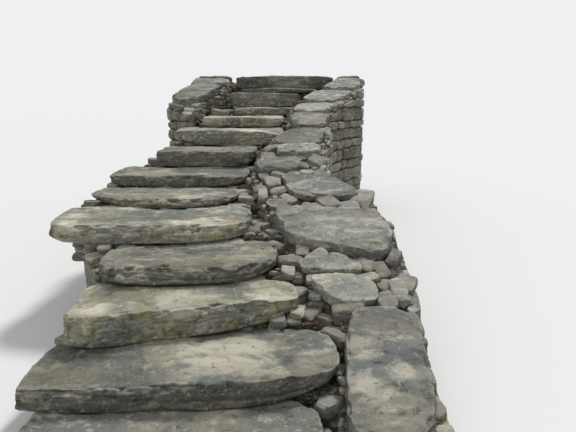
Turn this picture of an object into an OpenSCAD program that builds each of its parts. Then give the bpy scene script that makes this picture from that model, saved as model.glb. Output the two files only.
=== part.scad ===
// Outdoor flight of natural stone slab steps.
// Thirteen rough slabs climb a bank, each lying on the back of the slab below and on a
// dry-laid rubble bed of its own. A raking rubble cheek on the right, and a short one
// beside the landing on the left, carry flat side stones. Millimetres, +Z up, +Y uphill.
// The origin is on the ground under the lowest slab, close to the middle of its underside.

/* [Flight] */
// Average height of one step
rise = 151; // [125:1:185]
// Average distance from one nosing to the next
going = 476; // [420:1:600]
// Average length of a tread slab, across the flight
tread_w = 1200; // [1000:10:1400]
// Depth of the landing slab at the top, front to back
landing_d = 600; // [500:10:900]
// How far each slab lies on the back of the slab below
overlap = 130; // [105:5:170]
// Sideways sweep of the flight, where 1 is the sweep in the photograph
sweep = 1; // [0:0.05:1.2]

/* [Slabs] */
// How far the weathered top edges are rounded off
edge_round = 28; // [16:1:36]
// How far the front of each slab is undercut above its bed
undercut = 12; // [6:1:20]
// Roughness of the broken edges, as seen from above
edge_rough = 16; // [4:1:24]
// Deepest hollow worn into the top of a tread
top_wear = 12; // [0:1:16]
// Thickness of the thin cap slab on the second highest step
cap_t = 62; // [45:1:80]

/* [Base] */
// How far the rubble beds stand back from the left ends of the slabs
bed_inset = 40; // [20:5:80]
// Clear joint between the right ends of the slabs and the cheek
end_joint = 20; // [12:1:40]
// Width of the right cheek beside the third step
cheek_w = 440; // [360:10:560]
// Height of the raking cheek top at its foot
cheek_foot = 65; // [55:5:110]
// Distance from the first nosing to the front of the right cheek
cheek_front = 200; // [120:10:300]
// Width of the left cheek beside the landing
wing_w = 560; // [400:10:700]
// Thickness of the side stones
side_t = 112; // [80:1:140]
// Average length of a stone in the face of a rubble wall
facing_w = 270; // [200:10:340]
// How far those stones stand out of the wall
facing_out = 26; // [16:1:34]

/* [Hidden] */
STEPS = 13;
// The second highest step, whose thin cap slab lies on a block
CAP_STEP = 12;
// Points round the outline of a tread and of a side stone
TREAD_POINTS = 32;
SIDE_POINTS = 28;
// How much longer than deep a tread is, so that its points are evenly spaced
TREAD_SPREAD = 0.7;
// Clear joint between the back of a slab and the bed behind it
BACK_JOINT = 2;
// How far a slab's seat reaches out in front of the slab that lies on it
SEAT_MARGIN = 24;
// Inset of a stone's side from its outline at five heights, from the bed up
SIDE_INSET = [22, 4, -2, 0, 7];
// Roughness of those sides, apart from the outline's
SIDE_ROUGH = 5;

// Heights of the courses in the rubble walls, from the ground up, and then again
COURSE_H = [160, 115, 140, 100, 175, 125];
COURSES = 20;
// Joint round a wall stone, how far it narrows to its face, how deep it is set in the wall
// and its least height
FACE_JOINT = 3;
FACE_BEVEL = 13;
FACE_SET = 4;
FACE_LEAST = 28;

// Each step's share of the average rise, going and slab length, from the foot up
RISE_SHARE = [1.0, 0.93, 1.19, 0.76, 0.93, 0.56, 0.76, 1.13, 1.19, 0.86, 0.7, 1.69, 1.32];
GOING_SHARE = [0.95, 0.97, 0.65, 0.99, 1.07, 1.05, 1.13, 1.03, 1.03, 1.05, 1.03, 1.05];
WIDTH_SHARE = [1.14, 1.32, 1.09, 0.97, 1.25, 1.07, 1.1, 0.87, 1.06, 0.85, 0.7, 0.9, 1.24];
// Centre of each slab, to the right of the origin
CENTRE = [-36, -35, -95, -160, -535, -570, -535, -360, -180, -60, 170, 340, 435];
// Shape of each slab: squareness of its back right, back left, front left and front right
// corner, skew of the front to the right, then shares of the thickness at the left and the
// right end of the front: how far the top drops, and how far the underside lifts. Last, how
// far the foot of the front stands forward of its top edge
SHAPE = [
    [[5, 5, 3.2, 5], 10, [0.1, 0.1], [0.05, 0.05], 0],
    [[4, 2.2, 9, 2.5], 22, [0.28, 0.1], [0, 0.45], 30],
    [[3, 3, 5, 2.5], 170, [0.2, 0.3], [0, 0.5], 62],
    [[4, 3, 3.4, 2.6], 30, [0.15, 0.1], [0.2, 0.3], 55],
    [[5, 4, 2.8, 3.6], 45, [0.2, 0.05], [0.1, 0.2], 52],
    [[4, 3, 1.6, 2.4], -10, [0.1, 0.1], [0.5, 0.3], 36],
    [[5, 5, 4, 3], -10, [0.1, 0.2], [0.15, 0.2], 22],
    [[6, 6, 6, 5], 0, [0.05, 0.05], [0.1, 0.25], 14],
    [[4, 3, 2.4, 2.6], 0, [0.1, 0.45], [0.5, 0.2], 16],
    [[6, 6, 6, 6], 0, [0.05, 0.1], [0.15, 0.1], 10],
    [[6, 6, 5, 6], 10, [0.3, 0.05], [0.1, 0.1], 8],
    [[5, 5, 5, 6], 10, [0.2, 0.1], [0.2, 0.3], 0],
    [[6, 6, 5, 5], 0, [0.1, 0.1], [0.1, 0.1], 14]
];
BLOCK_SHAPE = [[5, 5, 5, 5], 0, [0, 0], [0, 0], 0];
// Ends of a side stone stay as thick as its middle
EVEN = [[0, 0], [0, 0]];
// Block under the cap slab: its share of the average slab length, and its centre
BLOCK_SHARE = 0.88;
BLOCK_CENTRE = 170;

function total(list, upto) = upto <= 0 ? 0 : list[upto - 1] + total(list, upto - 1);
function step_z(k) = rise * total(RISE_SHARE, k);
function step_y(k) = going * total(GOING_SHARE, k - 1) - step_d(1) / 2;
function step_h(k) = rise * RISE_SHARE[k - 1];
function step_w(k) = tread_w * WIDTH_SHARE[k - 1];
function step_x(k) = sweep * CENTRE[k - 1];
function step_d(k) = k < STEPS ? going * GOING_SHARE[k - 1] + overlap - BACK_JOINT : landing_d;
function left_end(k) = step_x(k) - step_w(k) / 2;
function right_end(k) = step_x(k) + step_w(k) / 2;

// Slice boundaries: the back of each slab, where the next rubble bed begins
function slice_y(s) = s < 2 ? step_y(1) + cheek_front
    : s > STEPS ? step_y(STEPS) + landing_d : step_y(s) + overlap;
function bed_right(s) = end_joint
    + (s < 2 ? right_end(1) : s > STEPS ? right_end(STEPS) : max(right_end(s - 1), right_end(s)));
function block_left() = sweep * BLOCK_CENTRE - BLOCK_SHARE * tread_w / 2;
// The left wing begins where this slab's bed does, and clears the slabs from there up
WING_FROM = 10;
function bed_left(s) = s <= WING_FROM ? (left_end(s - 1) + left_end(s)) / 2 + bed_inset
    : s > STEPS ? left_end(STEPS) - end_joint
    : min(left_end(s - 1), left_end(s), s >= CAP_STEP ? block_left() : left_end(s)) - end_joint;

// Width of the cheeks at each slice, as shares of their named widths
CHEEK_SHARE = [0, 1.1, 0.95, 1.0, 1.53, 1.84, 2.14, 1.56, 1.5, 1.07, 1.14, 1.32, 1.36, 0.89, 0.86];
WING_SHARE = [0.15, 0.86, 1.0, 1.0, 0.95];
function cheek_right(s) = bed_right(s) + cheek_w * CHEEK_SHARE[s];
function wing_left(s) = bed_left(s) - wing_w * WING_SHARE[s - WING_FROM];

// The cheeks rake with the flight and run level beside the landing
pitch = (step_z(STEPS) - step_z(2)) / (step_y(STEPS) - step_y(2));
function rake(y) = cheek_foot + pitch * (min(y, slice_y(STEPS)) - slice_y(1));

// Height at which a course of wall stones begins
function course_z(c) = total([for (i = [0 : COURSES]) COURSE_H[i % len(COURSE_H)]], c);

// Value of a slice function at a place between two whole slices
function between(s, value) = let (k = min(floor(s), STEPS))
    value(k) + (value(k + 1) - value(k)) * (s - k);
function at_y(s) = between(s, function (k) slice_y(k));
// Places across the right cheek and the left wing, from 0 beside the slabs to 1 outside
function cheek_x(s, share) = between(
    s, function (k) bed_right(k) + share * (cheek_right(k) - bed_right(k))
);
function wing_x(s, share) = between(
    s, function (k) bed_left(k) + share * (wing_left(k) - bed_left(k))
);

// Point on a rounded square of side 2, with a squareness of its own in each quarter
function rounded(t, squareness, spread) = let (
    n = squareness[floor(t / 90)],
    across = spread * cos(t),
    along = sin(t),
    size = pow(pow(abs(across), n) + pow(abs(along), n), 1 / n)
) [across / size, along / size];
// Repeatable roughness between -1 and 1 round an outline
function rough(a, seed) = 0.5 * sin(3 * a + 47 * seed) + 0.3 * sin(7 * a + 91 * seed)
    + 0.2 * sin(11 * a + 133 * seed);
// A point moved towards a centre by a distance
function towards(p, c, distance) = c + (p - c) * (1 - distance / norm(p - c));
function mean_point(points) = [
    for (axis = [0, 1]) total([for (p = points) p[axis]], len(points)) / len(points)
];

// Outline of a tread slab, with its front near y = 0 and its back at y = d
function slab_outline(w, d, shape, seed) = [
    for (i = [0 : TREAD_POINTS - 1])
        let (
            a = 360 * i / TREAD_POINTS,
            p = rounded(a, shape[0], TREAD_SPREAD),
            back = shape[1] * p[0],
            wear = edge_rough * (1 - rough(a, seed)) / 2
        )
        [
            p[0] * (w / 2 - wear),
            p[1] < 0 ? d / 2 + p[1] * (d / 2 + shape[4] - back - wear) : d / 2 + p[1] * d / 2
        ]
];

// Outline of a side stone between two places on a cheek, following the cheek's curve
function side_outline(row, seed, wing) = [
    for (i = [0 : SIDE_POINTS - 1])
        let (
            a = 360 * i / SIDE_POINTS,
            corners = [for (k = [0 : 3]) row[4] * (1 + 0.35 * rough(97 * k, seed))],
            p = rounded(wing ? (360 - a) % 360 : a, corners, 1) * (1 - 0.03 * (1 - rough(a, seed))),
            shift = p[1] < 0 ? row[5] * p[0] * p[1] : 0,
            s = (row[0] + row[1] + p[1] * (row[1] - row[0])) / 2 + shift,
            share = (row[2] + row[3] + p[0] * (row[3] - row[2])) / 2
        )
        [wing ? wing_x(s, share) : cheek_x(s, share), at_y(s)]
];

// Hollow worn into a top face, from 0 to 1
function worn(x, y, seed) = pow(0.5 + 0.25 * sin(x * 0.34 + 80 * seed)
    + 0.25 * sin(y * 0.71 + 50 * seed), 1.4);

// One rough stone on an outline. It has a flat bed, an undercut foot, rough sides, rounded
// top edges and a worn top. From seat on it stays level, where another slab lies on it. Its
// front leans back by lean from the foot up.
module stone(outline, h, wear, seed, ends, seat, raked, lean = 0) {
    n = len(outline);
    c = mean_point(outline);
    half = max([for (p = outline) abs(p[0] - c[0])]);
    reach = c[1] - min([for (p = outline) p[1]]);
    round_off = min(edge_round, 0.3 * h);
    foot = min(undercut, 0.24 * h);
    insets = concat(SIDE_INSET, round_off);
    heights = [0, foot, 0.38 * h, 0.66 * h, h - 0.6 * round_off, h];
    shares = [0.3, 0.62];
    function ground(y) = raked ? rake(y) : 0;
    function front(y) = is_undef(seat) ? 1 : seat <= 0 ? 0 : max(0, min(1, 2 * (seat - y) / seat));
    function end(p, pair) = let (x = (p[0] - c[0]) / half)
        h * front(p[1]) * (x < 0 ? pair[0] : pair[1]) * pow(abs(x), 3);
    function flat_top(p) = h - end(p, ends[0]) - front(p[1]) * wear * worn(p[0], p[1], seed);
    function low(p) = foot + end(p, ends[1]);
    function level(p, k) = low(p) + (heights[k] - foot) / (h - foot) * (h - end(p, ends[0]) - low(p));
    function leant(p, share) = p[1] + lean * share * max(0, (c[1] - p[1]) / reach);
    sides = [
        for (k = [0 : 5]) for (i = [0 : n - 1])
            let (
                a = 360 * i / n,
                bump = k > 0 && k < 5 ? SIDE_ROUGH * rough(a * 2 + 40 * k, seed + k) : 0,
                under = k == 0 ? 1.5 * end(outline[i], ends[1]) : 0,
                p = towards(outline[i], c, max(insets[k] + under + bump, 0)),
                drop = k == 1 ? 0.5 * foot * rough(a, seed + 7) * front(p[1]) : 0,
                z = k == 0 ? 0
                    : k == 5 ? flat_top(p) - front(p[1]) * 0.1 * round_off : level(p, k) + drop
            )
            [p[0], leant(p, max(0, heights[k] - foot) / (h - foot)), ground(p[1]) + z]
    ];
    tops = [
        for (share = shares) for (i = [0 : n - 1])
            let (p = c + (towards(outline[i], c, round_off) - c) * (1 - share))
            [p[0], leant(p, 1), ground(p[1]) + flat_top(p)]
    ];
    points = concat(sides, tops, [[c[0], c[1], ground(c[1]) + flat_top(c)]]);
    rings = len(insets) + len(shares);
    faces = concat(
        [[for (i = [0 : n - 1]) i]],
        [
            for (k = [0 : rings - 2]) for (i = [0 : n - 1])
                [k * n + i, (k + 1) * n + i, k * n + (i + 1) % n]
        ],
        [
            for (k = [0 : rings - 2]) for (i = [0 : n - 1])
                [k * n + (i + 1) % n, (k + 1) * n + i, (k + 1) * n + (i + 1) % n]
        ],
        [for (i = [0 : n - 1]) [(rings - 1) * n + i, rings * n, (rings - 1) * n + (i + 1) % n]]
    );
    polyhedron(points, faces, convexity = 4);
}

// One broken stone in the face of a rubble wall, in the wall's own axes: along it, up and
// out. It reaches from u[0] to u[1], and from low to high[0] at one end and high[1] at the
// other, and each corner of its face is knocked off by an amount of its own.
module facing_stone(u, low, high, out, seed) {
    corners = [[u[0], low], [u[1], low], [u[1], high[1]], [u[0], high[0]]];
    inwards = [[1, 1], [-1, 1], [-1, -1], [1, -1]];
    room = [for (end = [0, 1, 1, 0]) 0.38 * min(u[1] - u[0], high[end] - low)];
    function bevel(i, axis) =
        min(FACE_BEVEL * (1.1 + 0.9 * rough(80 * i + 45 * axis, seed)), room[i]);
    points = concat(
        [for (p = corners) [p[0], p[1], -FACE_SET]],
        [
            for (i = [0 : 3])
                [
                    corners[i][0] + inwards[i][0] * bevel(i, 0),
                    corners[i][1] + inwards[i][1] * bevel(i, 1),
                    out
                ]
        ]
    );
    faces = concat(
        [[0, 1, 2, 3], [7, 6, 5, 4]],
        [for (i = [0 : 3]) [i, i + 4, (i + 1) % 4]],
        [for (i = [0 : 3]) [(i + 1) % 4, i + 4, (i + 1) % 4 + 4]]
    );
    polyhedron(points, faces);
}

// Courses of stones on the face of a wall from a to b, with the outside on the right of
// the way there. The wall's top is top[0] high at a and top[1] high at b.
module facing(a, b, top, seed) {
    length = norm(b - a);
    function joint_u(i, n, c) = i == 0 ? FACE_JOINT : i == n ? length - FACE_JOINT
        : length * (i + 0.4 * rough(70 * i + 31 * c, seed)) / n;
    function wall_top(u) = top[0] + (top[1] - top[0]) * u / length - FACE_JOINT;
    translate([a[0], a[1], 0])
        rotate([90, 0, atan2(b[1] - a[1], b[0] - a[0])])
            for (c = [0 : COURSES - 1])
                let (n = max(1, round(length / facing_w + 0.9 * rough(50 * c, seed))))
                    for (i = [0 : n - 1])
                        let (
                            u = [joint_u(i, n, c), joint_u(i + 1, n, c)],
                            low = course_z(c) + FACE_JOINT,
                            high = [for (end = u) min(course_z(c + 1), wall_top(end))]
                        )
                            if (min(high) - low > FACE_LEAST)
                                facing_stone(
                                    u, low, high, facing_out * (1 + 0.4 * rough(90 * i + 50 * c, seed)),
                                    seed + 3 * i + 5 * c
                                );
}

// Core of a rubble wall over a run of slices, with a raking top
module raking_core(slices, wing) {
    m = len(slices);
    points = [
        for (s = slices)
            let (
                near = wing ? wing_x(s, 1) : cheek_x(s, 0),
                far = wing ? wing_x(s, 0) : cheek_x(s, 1),
                y = at_y(s)
            )
            each [[near, y, 0], [far, y, 0], [far, y, rake(y)], [near, y, rake(y)]]
    ];
    faces = concat(
        [[0, 3, 2, 1]],
        [
            for (j = [0 : m - 2]) for (i = [0 : 3])
                [4 * j + i, 4 * j + (i + 1) % 4, 4 * j + 4 + (i + 1) % 4, 4 * j + 4 + i]
        ],
        [[4 * m - 4, 4 * m - 3, 4 * m - 2, 4 * m - 1]]
    );
    polyhedron(points, faces, convexity = 4);
}

// Rubble wall over a run of slices, with stones on its outside and on its back at the top
module raking_wall(range, wing) {
    slices = [for (s = range) s];
    last = slices[len(slices) - 1];
    function outer(s) = [wing ? wing_x(s, 1) : cheek_x(s, 1), at_y(s)];
    function inner(s) = [wing ? wing_x(s, 0) : cheek_x(s, 0), at_y(s)];
    function top(s) = rake(at_y(s));
    raking_core(slices, wing);
    for (s = [slices[0] : last - 1])
        if (wing) facing(outer(s + 1), outer(s), [top(s + 1), top(s)], 3 * s);
        else facing(outer(s), outer(s + 1), [top(s), top(s + 1)], 2 * s);
    if (last > STEPS)
        if (wing) facing(inner(last), outer(last), [top(last), top(last)], 5);
        else facing(outer(last), inner(last), [top(last), top(last)], 7);
}

// Tread slab of step k, of its own thickness, with its top at the step's level
module tread(k) {
    seat = k < STEPS ? step_d(k) - overlap - SEAT_MARGIN : undef;
    color([0.44, 0.42, 0.36])
        translate([step_x(k), step_y(k), step_z(k - 1) + (k == CAP_STEP ? step_h(k) - cap_t : 0)])
            stone(
                slab_outline(step_w(k), step_d(k), SHAPE[k - 1], k), k == CAP_STEP ? cap_t : step_h(k),
                top_wear, k, [SHAPE[k - 1][2], SHAPE[k - 1][3]], seat, false, SHAPE[k - 1][4]
            );
}

// Thick block that carries the cap slab
module riser_block() {
    color([0.5, 0.47, 0.39])
        translate([sweep * BLOCK_CENTRE, step_y(CAP_STEP), step_z(CAP_STEP - 1)])
            stone(
                slab_outline(BLOCK_SHARE * tread_w, step_d(CAP_STEP), BLOCK_SHAPE, 21),
                step_h(CAP_STEP) - cap_t, 0, 21, EVEN, 0, false
            );
}

// Rubble bed under tread k, down to the ground, with stones where its side or back is bare
module bed(k) {
    front = [[bed_left(k), slice_y(k)], [bed_right(k), slice_y(k)]];
    back = [[bed_right(k + 1), slice_y(k + 1)], [bed_left(k + 1), slice_y(k + 1)]];
    h = step_z(k - 1);
    color([0.36, 0.34, 0.3]) {
        linear_extrude(h) polygon(concat(front, back));
        if (k < WING_FROM) facing(back[1], front[0], [h, h], k);
        if (k == STEPS) facing(back[0], back[1], [h, h], k);
    }
}

module right_cheek(range) {
    color([0.36, 0.34, 0.3]) raking_wall(range, false);
}

module left_cheek(range) {
    color([0.36, 0.34, 0.3]) raking_wall(range, true);
}

// Side stones: from and to on the slices, near and far across the cheek,
// squareness, skew of the lower end, share of the average thickness
SIDE = [
    [1.04, 3.0, -0.04, 0.97, 3.4, 0.04, 1.0],
    [3.1, 3.98, -0.03, 0.64, 3.6, -0.06, 0.8],
    [4.48, 5.6, -0.02, 0.97, 3.6, 0.25, 0.95],
    [5.98, 6.85, 0.3, 0.96, 3.6, 0.0, 0.7],
    [6.92, 7.45, 0.04, 0.66, 3.6, 0.0, 0.85],
    [7.52, 7.97, 0.28, 0.97, 3.2, 0.0, 0.95],
    [8.05, 8.95, 0.04, 0.96, 3.6, 0.06, 0.75],
    [9.04, 9.95, 0.05, 0.97, 4.0, 0.0, 0.85],
    [10.05, 10.7, 0.04, 0.95, 3.6, 0.0, 0.75],
    [10.8, 11.8, 0.05, 0.97, 4.2, 0.04, 0.8],
    [11.9, 12.94, 0.05, 0.97, 4.4, 0.0, 0.85],
    [13.06, 13.95, 0.06, 0.97, 5.0, 0.0, 1.0]
];
WEDGE = [
    [3.15, 3.9, 0.74, 0.96, 3.2, 0.0, 0.6],
    [4.06, 4.4, 0.0, 0.6, 3.0, 0.0, 0.6],
    [5.68, 6.0, 0.04, 0.24, 2.8, 0.0, 0.55],
    [7.54, 7.8, 0.04, 0.22, 2.8, 0.0, 0.5]
];
WING = [
    [10.7, 12.2, 0.06, 0.96, 3.6, 0.08, 1.15],
    [12.3, 12.94, 0.05, 0.96, 4.0, 0.0, 0.9],
    [13.06, 13.95, 0.05, 0.96, 4.6, 0.0, 1.0]
];

module side_stone(row, seed, wing) {
    color([0.48, 0.46, 0.4])
        stone(side_outline(row, seed, wing), side_t * row[6], top_wear, seed, EVEN, undef, true);
}

module wedge_stones() {
    for (i = [0 : len(WEDGE) - 1]) side_stone(WEDGE[i], 51 + i, false);
}

// The level stones on both cheeks, beside the landing
module landing_stones() {
    side_stone(SIDE[11], 42, false);
    side_stone(WING[2], 63, true);
}

tread(1);  // tread_01
tread(2);  // tread_02
tread(3);  // tread_03
tread(4);  // tread_04
tread(5);  // tread_05
tread(6);  // tread_06
tread(7);  // tread_07
tread(8);  // tread_08
tread(9);  // tread_09
tread(10);  // tread_10
tread(11);  // tread_11
riser_block();
tread(12);  // tread_12
tread(13);  // tread_13
bed(2);  // bed_02
bed(3);  // bed_03
bed(4);  // bed_04
bed(5);  // bed_05
bed(6);  // bed_06
bed(7);  // bed_07
bed(8);  // bed_08
bed(9);  // bed_09
bed(10);  // bed_10
bed(11);  // bed_11
bed(12);  // bed_12
bed(13);  // bed_13
right_cheek([1 : 4]);  // right_cheek_1
right_cheek([4 : 7]);  // right_cheek_2
right_cheek([7 : 10]);  // right_cheek_3
right_cheek([10 : 14]);  // right_cheek_4
left_cheek([WING_FROM : STEPS + 1]);
side_stone(SIDE[0], 31, false);  // side_stone_01
side_stone(SIDE[1], 32, false);  // side_stone_02
side_stone(SIDE[2], 33, false);  // side_stone_03
side_stone(SIDE[3], 34, false);  // side_stone_04
side_stone(SIDE[4], 35, false);  // side_stone_05
side_stone(SIDE[5], 36, false);  // side_stone_06
side_stone(SIDE[6], 37, false);  // side_stone_07
side_stone(SIDE[7], 38, false);  // side_stone_08
side_stone(SIDE[8], 39, false);  // side_stone_09
side_stone(SIDE[9], 40, false);  // side_stone_10
side_stone(SIDE[10], 41, false);  // side_stone_11
side_stone(WING[0], 61, true);  // left_stone_1
side_stone(WING[1], 62, true);  // left_stone_2
landing_stones();
wedge_stones();
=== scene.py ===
"""Looks for a flight of rough stone slab steps: weathered slabs, walling and small stones.

Metres, +Z up, +Y uphill. Every slab is a finer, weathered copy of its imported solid. The rubble
beds and cheeks keep their solids as a dark core, a little behind the fronts of its wall stones.
A broken stone covers each of those fronts, loose stones lie on the bare tops and under slab
ends that stick out, and small flat stones fill the steep faces beside the slabs.
"""
import itertools
import math
import random

import bmesh
import bpy
import numpy as np
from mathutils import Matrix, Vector
from mathutils.bvhtree import BVHTree


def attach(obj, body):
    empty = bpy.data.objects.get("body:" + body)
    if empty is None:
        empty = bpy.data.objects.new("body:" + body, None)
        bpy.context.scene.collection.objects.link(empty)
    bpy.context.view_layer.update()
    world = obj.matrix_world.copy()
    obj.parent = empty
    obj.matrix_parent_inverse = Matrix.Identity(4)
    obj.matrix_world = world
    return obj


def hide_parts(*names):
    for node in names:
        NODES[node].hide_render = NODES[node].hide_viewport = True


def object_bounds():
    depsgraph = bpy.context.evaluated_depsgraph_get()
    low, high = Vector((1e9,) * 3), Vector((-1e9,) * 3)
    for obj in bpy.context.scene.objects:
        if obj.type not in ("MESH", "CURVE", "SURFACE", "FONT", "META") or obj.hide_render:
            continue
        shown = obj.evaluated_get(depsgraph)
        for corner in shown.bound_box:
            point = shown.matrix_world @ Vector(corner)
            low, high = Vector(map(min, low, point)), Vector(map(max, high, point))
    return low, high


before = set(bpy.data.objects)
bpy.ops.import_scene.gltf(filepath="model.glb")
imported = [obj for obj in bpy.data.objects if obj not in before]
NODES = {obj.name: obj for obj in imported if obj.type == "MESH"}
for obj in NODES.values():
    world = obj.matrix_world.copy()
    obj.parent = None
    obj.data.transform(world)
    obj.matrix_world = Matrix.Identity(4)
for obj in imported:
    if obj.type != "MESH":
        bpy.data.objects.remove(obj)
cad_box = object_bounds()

SLABS = sorted(n for n in NODES if n.startswith("tread_")) + ["riser_block"]
SIDE_STONES = sorted(n for n in NODES if "stone" in n)
CORES = sorted(n for n in NODES if n.startswith("bed_") or "cheek" in n)
WALLS = {
    "bed_walling": [n for n in CORES if n.startswith("bed_")],
    "right_walling": [n for n in CORES if n.startswith("right_cheek")],
    "left_walling": ["left_cheek"],
}

# Camera: a phone held 1.5 m above the foot of the flight
IMAGE_W = 576
FOCAL_PX = 470
CAMERA_PITCH = 13.06
CAMERA_AT = (0.48, -1.74, 1.51)

# Studio: the strength of each lamp, its spread and its turn in degrees; the light of the sky;
# and the plain backdrop and floor
LAMPS = {"key": (2.3, 12, (38, 0, 152)), "fill": (0.5, 60, (48, 0, -35))}
SKY_COLOUR = (0.93, 0.96, 1.0)
SKY_STRENGTH = 0.5
BACKDROP_COLOUR = (0.86, 0.87, 0.88)
FLOOR_COLOUR = (0.74, 0.74, 0.72)
FLOOR_REACH = 60.0

# Colours of the stones: two for the body, which partly paint dappled sun and shade, pale crusts,
# a dark one for stains and for painted shade on sides and in hollows, and lichen
TREAD_COLOURS = {"warm": (0.36, 0.33, 0.25), "cool": (0.215, 0.226, 0.204),
                 "pale": (0.6, 0.56, 0.44), "dark": (0.066, 0.07, 0.056),
                 "lichen": (0.35, 0.35, 0.15)}
SIDE_COLOURS = {"warm": (0.37, 0.35, 0.28), "cool": (0.225, 0.242, 0.226),
                "pale": (0.6, 0.57, 0.47), "dark": (0.085, 0.09, 0.075),
                "lichen": (0.31, 0.31, 0.17)}
WALL_COLOURS = {"warm": (0.36, 0.32, 0.25), "cool": (0.25, 0.255, 0.23),
                "pale": (0.5, 0.46, 0.37), "dark": (0.085, 0.08, 0.065),
                "lichen": (0.28, 0.28, 0.15)}
# Painted sunlight: the pale stone colour of the sunlit pools on the slabs
SUNLIT_POOL_COLOUR = (0.68, 0.63, 0.5)
# Colours of the core: fine fill, small and large chips, the joints between them and grit
FILL = (0.06, 0.045, 0.032)
SMALL_CHIP = (0.2, 0.165, 0.12)
LARGE_CHIP = (0.24, 0.22, 0.18)
JOINT = (0.03, 0.022, 0.016)
GRIT = (0.04, 0.03, 0.022)

# How light each slab is, partly painted sun and shade, and its lichen growth, where the photo
# shows it
TONE_WITH_PAINTED_LIGHT = {"tread_01": 0.3, "tread_02": 0.2, "tread_03": 0.5, "tread_04": 0.15, "tread_05": 0.7,
        "tread_06": 0.3, "tread_07": 0.25, "tread_08": 0.35, "tread_09": 0.7, "tread_10": 0.75,
        "tread_11": 0.7, "riser_block": 1.0, "tread_12": 0.45, "tread_13": 0.25,
        "side_stone_01": 0.15, "side_stone_02": 1.0, "side_stone_03": 0.5, "left_stone_1": 0.2}
GROWTH = {"tread_01": 0.5, "tread_02": 0.25, "tread_03": 1.0, "tread_05": 0.7, "tread_10": 0.8,
          "side_stone_01": 0.6, "side_stone_03": 0.3}
USUAL_GROWTH = 0.3
# Painted pools of sunlight on the slabs, where the photo shows pale stone: x, y and reach
SUNLIT_POOLS = {
    "tread_02": [(0.15, 0.41, 0.19), (0.63, 0.39, 0.12)],
    "tread_03": [(-0.05, 0.66, 0.17), (-0.6, 0.63, 0.09), (0.46, 0.77, 0.12)],
    "tread_05": [(-0.1, 1.47, 0.17), (-1.03, 1.45, 0.1)],
    "tread_06": [(-0.32, 2.0, 0.1)],
    "tread_09": [(0.1, 3.5, 0.15)],
    "tread_10": [(-0.42, 4.0, 0.13), (0.33, 4.0, 0.11)],
    "tread_13": [(0.45, 5.46, 0.2)],
    "side_stone_01": [(0.87, 0.42, 0.08), (0.85, 0.17, 0.07), (1.03, 0.26, 0.06), (0.93, 0, 0.06)],
}

# Fineness of the slabs, with more of it near the camera, and how much they are worn
NEAR_SLABS = 4
NEAR_VOXEL = 0.0085
SLAB_VOXEL = 0.0105
SIDE_VOXEL = 0.0095
SLAB_WEAR = 1.0
SIDE_WEAR = 0.85
# Wear on every face of a slab
WARP = 0.007
# Wear on its sides: facets, the grooves between them, thin beds and one long split
FACET = 0.014
GROOVE = 0.004
BED = 0.0036
SPLIT = 0.008
# Wear on its arrises
CHIP = 0.015
# Wear on its top: broad plates and small flakes
PLATE = 0.009
FLAKE = 0.0034
# Wear on its top and sides
PIT = 0.004
GRAIN = 0.0018
# Wear of this depth counts as a full hollow, which gets the full painted shade
FULL_HOLLOW = 0.018

# Fronts of wall stones: how upright they are, how far they stand out of the core, and the
# shortest one
UPRIGHT = 0.05
STANDS_OUT = (0.008, 0.05)
SHORTEST = 0.07
# Behind each wall stone the core is pushed in this far, to leave dark joints
JOINT_DEPTH = 0.01
# Ends of wall stones this close to each other meet. Their joint shifts by up to this much,
# unless the wall turns there, by an angle in radians
MEETING = 0.075
JOINT_SHIFT = 0.07
TURNS = 0.3
# The broken stone over a front: how much larger it is at each edge, how far it stands before
# the front, how far its back reaches into the core, the size of its grid and its heave
COVER_GROWS = (0.006, 0.012)
COVER_PROUD = (0.003, 0.012)
COVER_BACK = 0.035
COVER_GRID = 0.028
HEAVE = 0.006
# Roughness of wall stones and of small stones
WALL_ROUGH = 0.004
SMALL_ROUGH = 0.0015

# Where rays that look for bare tops start, and which way they go
SKY = 5.0
DOWN = Vector((0, 0, -1))
# Loose stones lie on tops that face up by at least this much
LEVEL = 0.6
# Sizes of the loose stones, the large ones first, and the places tried for each size
LOOSE_SIZES = (0.09, 0.065, 0.045, 0.03, 0.02)
LOOSE_TRIES = 5000
# Two loose stones may lie as close as this share of their radii, and never touch beyond FAR
CLOSEST = 0.74
FAR = 0.2
# Floor between the lowest slab and the cheek, in x and y, which loose stones cover too
FOOT_GAP = ((0.5, 0.7), (-0.1, 0.4))
# Pits between slabs are filled in layers, when their rims at this reach stand higher, with
# stones of this size and at least this radius
PIT_REACH = 0.11
PIT_LAYER = 0.045
PIT_SIZE = 0.04
PIT_RADIUS = 0.035

# Chocks, the stones under slab ends: places tried under each slab, half the width and half the
# depth of the stones, their height, how far they are out of line, their spacing, the gaps that
# they fill, and the ways from which those show
CHOCK_TRIES = 1500
CHOCK_W = (0.04, 0.065)
CHOCK_D = (0.05, 0.085)
CHOCK_H = 0.045
CHOCK_ASTRAY = 0.02
CHOCK_APART = 0.1
CHOCK_GAP = (0.02, 0.2)
LEFTWARD = [Vector((math.cos(a), math.sin(a), 0)) for a in (math.pi, 2.6, -2.6, -2.1)]

# Packing, the small flat stones in steep faces: the most such a face looks up or down, its
# smallest area, the height and width of the stones, the gap between them, how far they stand
# out of the face and how far they reach into it
STEEP = 0.4
STEEP_AREA = 0.003
PACKING_H = (0.035, 0.08)
PACKING_W = (0.06, 0.17)
PACKING_JOINT = 0.004
PACKING_PROUD = (0.008, 0.022)
PACKING_BACK = 0.03
# Open space that a packing stone needs in front of it, and how exactly that is measured
CLEAR = 0.035
CLEAR_ERROR = 0.006

# Edges of small stones sharper than this stay crisp, in degrees
CRISP = 32

# Seeds of the slabs, one step apart, and of all other chance
SLAB_SEED = 100
SIDE_SEED = 400
SEED_STEP = 7
SUNLIT_POOL_SEED = 91
HEAVE_SEED = 60
WALL_SEED = 11
WALL_ROUGH_SEED = 71
SMALL_SEED = 23
SMALL_ROUGH_SEED = 81


# Noise

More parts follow.
